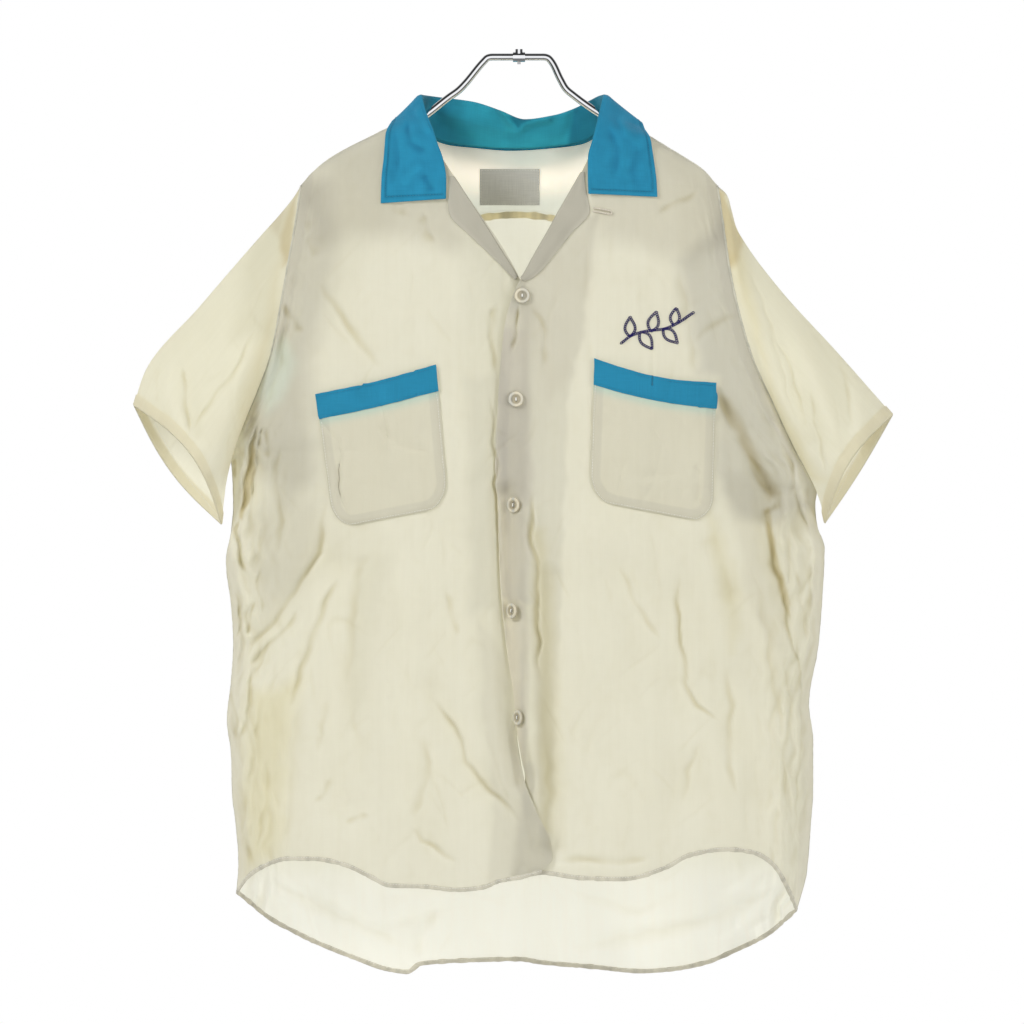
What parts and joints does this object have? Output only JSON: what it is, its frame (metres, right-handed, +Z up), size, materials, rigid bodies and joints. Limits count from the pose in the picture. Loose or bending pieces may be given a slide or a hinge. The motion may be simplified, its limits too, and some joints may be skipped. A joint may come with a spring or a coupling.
{
  "type": "bowling shirt on a hanger",
  "caption": "Off-white short-sleeved bowling shirt with a teal camp collar and teal banded chest pockets, buttoned and hanging on a bent chrome tube hanger.",
  "frame": {"origin": "middle of the hanger's top bar, which holds the shirt up", "axes": "+Z up, the shirt's front faces -Y, the wearer's left is +X"},
  "size_m": [0.7303, 0.1461, 0.8892],
  "materials": {
    "cream_cloth": "matt thin plain weave, off-white",
    "teal_cloth": "matt plain weave, teal blue",
    "pearl_button": "pearly, gloss",
    "grey_label": "satin weave, plain grey",
    "chrome_tube": "polished chrome"
  },
  "bodies": {
    "root": {"front_left": "cream_cloth", "front_right": "cream_cloth", "back": "cream_cloth", "yoke": "cream_cloth", "sleeve_left": "cream_cloth", "sleeve_right": "cream_cloth", "collar": "teal_cloth", "facing_left": "cream_cloth", "facing_right": "cream_cloth", "collar_loop": "cream_cloth", "pocket_left": "cream_cloth", "pocket_right": "cream_cloth", "pocket_band_left": "teal_cloth", "pocket_band_right": "teal_cloth", "button_1": "pearl_button", "button_2": "pearl_button", "button_3": "pearl_button", "button_4": "pearl_button", "button_5": "pearl_button", "label": "grey_label", "hanger": "chrome_tube", "hanger_fitting": "chrome_tube"}
  },
  "joints": []
}
